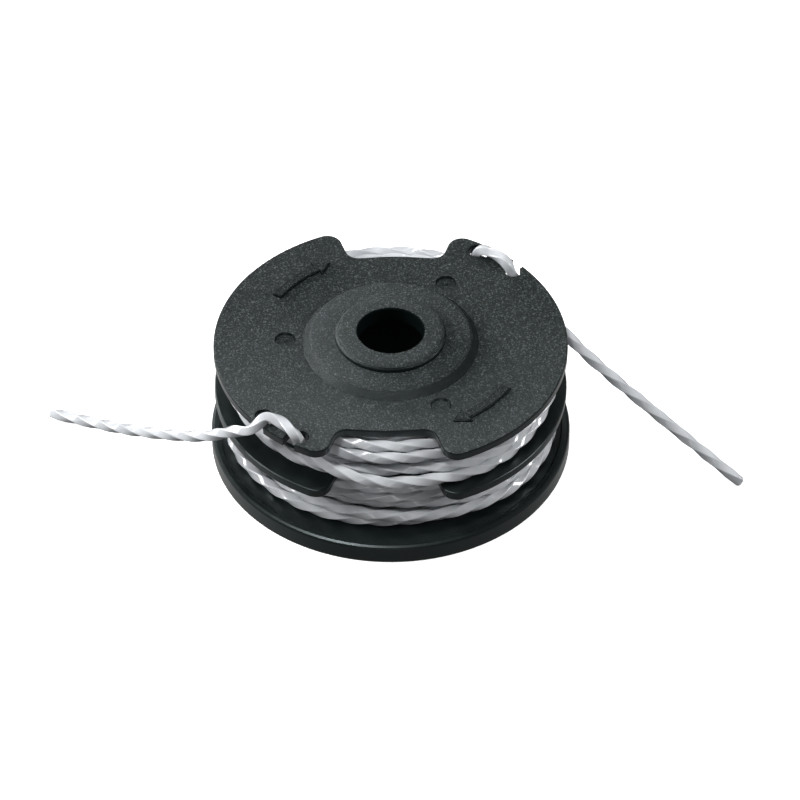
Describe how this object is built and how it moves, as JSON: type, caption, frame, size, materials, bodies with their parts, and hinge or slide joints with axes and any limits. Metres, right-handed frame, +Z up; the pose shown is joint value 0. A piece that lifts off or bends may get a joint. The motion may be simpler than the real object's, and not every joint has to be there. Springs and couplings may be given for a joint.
{
  "type": "string trimmer line spool",
  "caption": "Black dual-chamber trimmer spool with a stepped drive bore, wound with twisted cutting lines whose ends park in rim pockets.",
  "frame": {"origin": "centre of the lower rim's bottom face, on the spool's axis", "axes": "+Z up the spool's axis towards the drive boss; -Y is the side whose rim pockets hold the upper line"},
  "size_m": [0.1542, 0.0796, 0.032],
  "materials": {
    "moulded_nylon": "fine-textured glass-filled nylon",
    "smooth_nylon": "satin glass-filled nylon",
    "cutting_line": "translucent twisted nylon"
  },
  "bodies": {
    "root": {"upper_flange": "moulded_nylon", "direction_arrows": "moulded_nylon", "drive_boss": "moulded_nylon", "hub_core": "smooth_nylon", "divider": "smooth_nylon", "lower_flange": "smooth_nylon", "lower_rim": "smooth_nylon", "feed_lugs": "smooth_nylon", "upper_winding": "cutting_line", "lower_winding": "cutting_line", "upper_line_end": "cutting_line", "lower_line_end": "cutting_line"}
  },
  "joints": []
}
